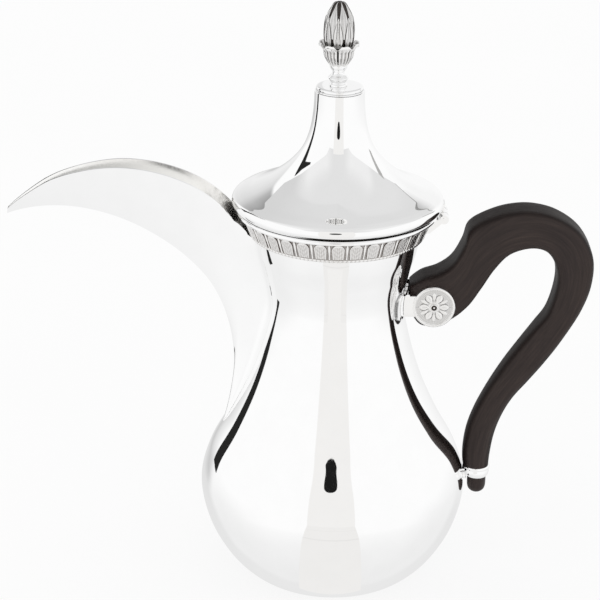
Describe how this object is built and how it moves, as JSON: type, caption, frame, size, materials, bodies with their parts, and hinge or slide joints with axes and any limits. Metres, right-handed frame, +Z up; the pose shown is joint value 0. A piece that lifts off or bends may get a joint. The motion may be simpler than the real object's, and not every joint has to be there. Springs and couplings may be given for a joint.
{
  "type": "coffee pot",
  "caption": "Long-beaked coffee pot with a round belly, hinged bell lid with bud finial, ornamented gallery and curved wooden handle.",
  "frame": {"origin": "on the pot's axis, in the plane that its flat bottom rests on", "axes": "+Z up along the pot's axis, -X towards the beak's tip, +X towards the handle, +Y across"},
  "size_m": [0.2904, 0.1348, 0.3],
  "materials": {
    "polished_silver": "mirror-polished silver plate on brass",
    "chased_silver": "stamped silver-plated strip, darkened in its recesses",
    "oxidised_silver": "cast silver-plated ornament, oxidised in its recesses",
    "bare_steel": "plain steel fastener",
    "dark_wood": "dark satin hardwood with fine grain"
  },
  "bodies": {
    "pot": {"body": "polished_silver", "base_plate": "polished_silver", "lower_wire": "chased_silver", "gallery_band": "chased_silver", "gallery_leaves": "chased_silver", "mouth_ring": "polished_silver", "spout": "polished_silver", "hinge_leaf_body": "polished_silver", "hinge_pin": "polished_silver", "handle": "dark_wood", "bracket_foot": "polished_silver", "cheek_near": "polished_silver", "cheek_far": "polished_silver", "rosette_near": "oxidised_silver", "rosette_far": "oxidised_silver", "bracket_rivet": "polished_silver", "lower_ring": "polished_silver", "lower_saddle": "polished_silver"},
    "lid_assembly": {"lid": "polished_silver", "lid_collar": "polished_silver", "lid_cap": "polished_silver", "finial_stem": "polished_silver", "finial_calyx": "oxidised_silver", "finial_bud": "oxidised_silver", "finial_leaves_lower": "oxidised_silver", "finial_leaves_upper": "oxidised_silver", "finial_screw": "bare_steel", "finial_washer": "bare_steel", "finial_nut": "bare_steel", "hinge_leaf_lid": "polished_silver"}
  },
  "joints": [
    {"name": "lid_hinge", "type": "hinge", "parent": "pot", "child": "lid_assembly", "pos_m": [0.0523, 0, 0.1932], "axis": [0, 1, 0], "range_deg": [0, 105]}
  ]
}
